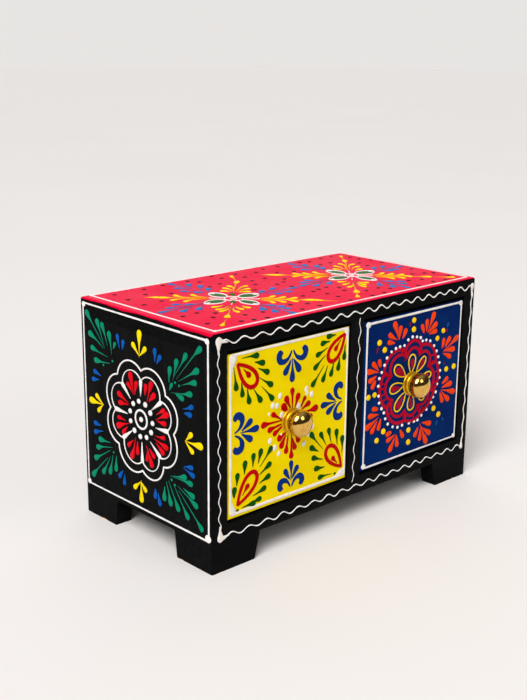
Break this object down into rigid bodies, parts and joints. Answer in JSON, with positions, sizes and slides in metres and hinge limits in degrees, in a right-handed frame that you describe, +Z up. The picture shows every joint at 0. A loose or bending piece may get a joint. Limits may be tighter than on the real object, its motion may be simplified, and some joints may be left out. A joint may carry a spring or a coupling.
{
  "type": "drawer box",
  "caption": "Small painted wooden box on corner bracket feet with square drawers side by side, each drawn by a turned brass knob, for craft supplies and small parts.",
  "frame": {"origin": "on the floor, under the middle of the whole object's box, knobs counted in", "axes": "+X to the right of someone facing the drawer fronts, +Y from the fronts to the back, +Z up"},
  "size_m": [0.165, 0.0974, 0.1],
  "materials": {
    "black_paint": "satin black paint on wood",
    "pink_paint": "satin pink paint on wood, black on the edges",
    "yellow_paint": "satin yellow paint on wood",
    "blue_paint": "satin dark blue paint on wood",
    "bare_wood": "sanded, unfinished",
    "brass": "polished",
    "steel": "bright",
    "relief_white": "raised cone-painted acrylic, glossy",
    "relief_red": "raised cone-painted acrylic, glossy",
    "relief_orange": "raised cone-painted acrylic, glossy",
    "relief_yellow": "raised cone-painted acrylic, glossy",
    "relief_green": "raised cone-painted acrylic, glossy",
    "relief_blue": "raised cone-painted acrylic, glossy",
    "relief_black": "raised cone-painted acrylic, glossy"
  },
  "bodies": {
    "carcass": {"top_board": "pink_paint", "bottom_board": "black_paint", "left_side": "black_paint", "right_side": "black_paint", "centre_divider": "black_paint", "back_panel": "black_paint", "foot_front_left": "black_paint", "foot_front_right": "black_paint", "foot_rear_left": "black_paint", "foot_rear_right": "black_paint", "top_nails": "steel", "bottom_nails": "steel", "foot_nails": "steel", "back_pins": "steel"},
    "left_drawer": {"left_drawer_front": "yellow_paint", "left_drawer_left_wall": "bare_wood", "left_drawer_right_wall": "bare_wood", "left_drawer_back": "bare_wood", "left_drawer_floor": "bare_wood", "left_drawer_pins": "steel", "left_drawer_knob": "brass", "left_drawer_knob_screw": "steel", "left_drawer_knob_washer": "steel"},
    "right_drawer": {"right_drawer_front": "blue_paint", "right_drawer_left_wall": "bare_wood", "right_drawer_right_wall": "bare_wood", "right_drawer_back": "bare_wood", "right_drawer_floor": "bare_wood", "right_drawer_pins": "steel", "right_drawer_knob": "brass", "right_drawer_knob_screw": "steel", "right_drawer_knob_washer": "steel"}
  },
  "joints": [
    {"name": "left_drawer_slide", "type": "slide", "parent": "carcass", "child": "left_drawer", "axis": [0, -1, 0], "range_m": [0, 0.065]},
    {"name": "right_drawer_slide", "type": "slide", "parent": "carcass", "child": "right_drawer", "axis": [0, -1, 0], "range_m": [0, 0.065]}
  ]
}
